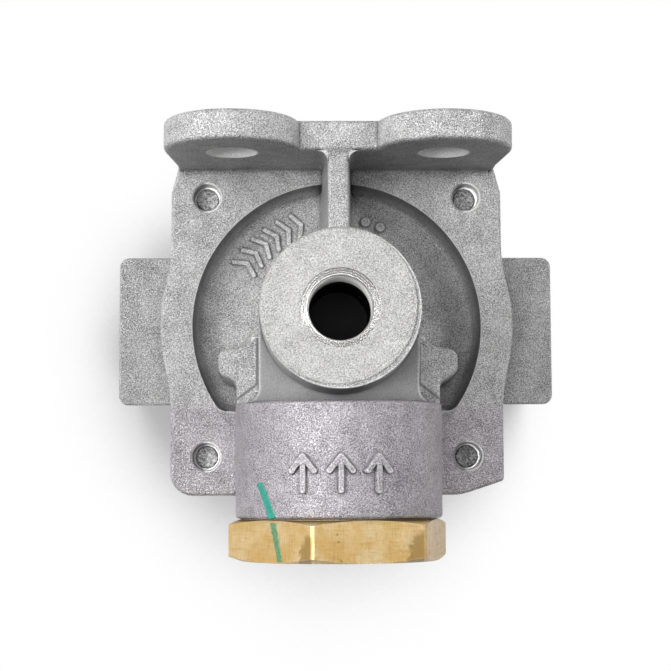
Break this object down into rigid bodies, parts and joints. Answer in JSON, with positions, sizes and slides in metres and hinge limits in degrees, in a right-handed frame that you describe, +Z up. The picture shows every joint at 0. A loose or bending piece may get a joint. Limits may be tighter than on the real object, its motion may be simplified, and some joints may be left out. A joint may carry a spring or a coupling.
{
  "type": "quick exhaust valve",
  "caption": "Cast valve with square delivery arms, a brass hexagon supply port on a round tower, a balance port boss and an L bracket with round ears.",
  "frame": {"origin": "where the axis of the balance port and the exhaust outlet meets the surface that the valve lies on, level with the rim of the exhaust skirt", "axes": "+Z up along the balance port, +Y towards the mounting bracket's face, the supply port points to -Y and the delivery ports to -X and +X"},
  "size_m": [0.0978, 0.0914, 0.088],
  "materials": {
    "cast_aluminium": "shot-blasted die casting",
    "brass": "machined, dulled",
    "zinc_steel": "zinc plated, dull",
    "spring_steel": "drawn wire",
    "acetal": "turned",
    "rubber": "moulded, matt"
  },
  "bodies": {
    "housing": {"body": "cast_aluminium", "rear_cover": "cast_aluminium", "cap_nut": "brass", "nut_seal": "rubber", "check_guide": "brass", "diaphragm_spring": "spring_steel", "cover_seal": "rubber", "cover_screws": "zinc_steel", "lock_washers": "spring_steel", "exhaust_flap": "rubber", "flap_washer": "zinc_steel", "flap_screw": "zinc_steel"},
    "shuttle": {"check_shuttle": "acetal", "shuttle_seals": "rubber"},
    "diaphragm_unit": {"diaphragm": "rubber", "spring_seat": "zinc_steel"}
  },
  "joints": [
    {"name": "shuttle_slide", "type": "slide", "parent": "housing", "child": "shuttle", "axis": [0, 1, 0], "range_m": [0, 0.003]},
    {"name": "diaphragm_lift", "type": "slide", "parent": "housing", "child": "diaphragm_unit", "axis": [0, 0, -1], "range_m": [0, 0.0025], "stiffness_N_per_m": 150, "springref_m": -0.006, "deforming": ["diaphragm_spring"]}
  ]
}
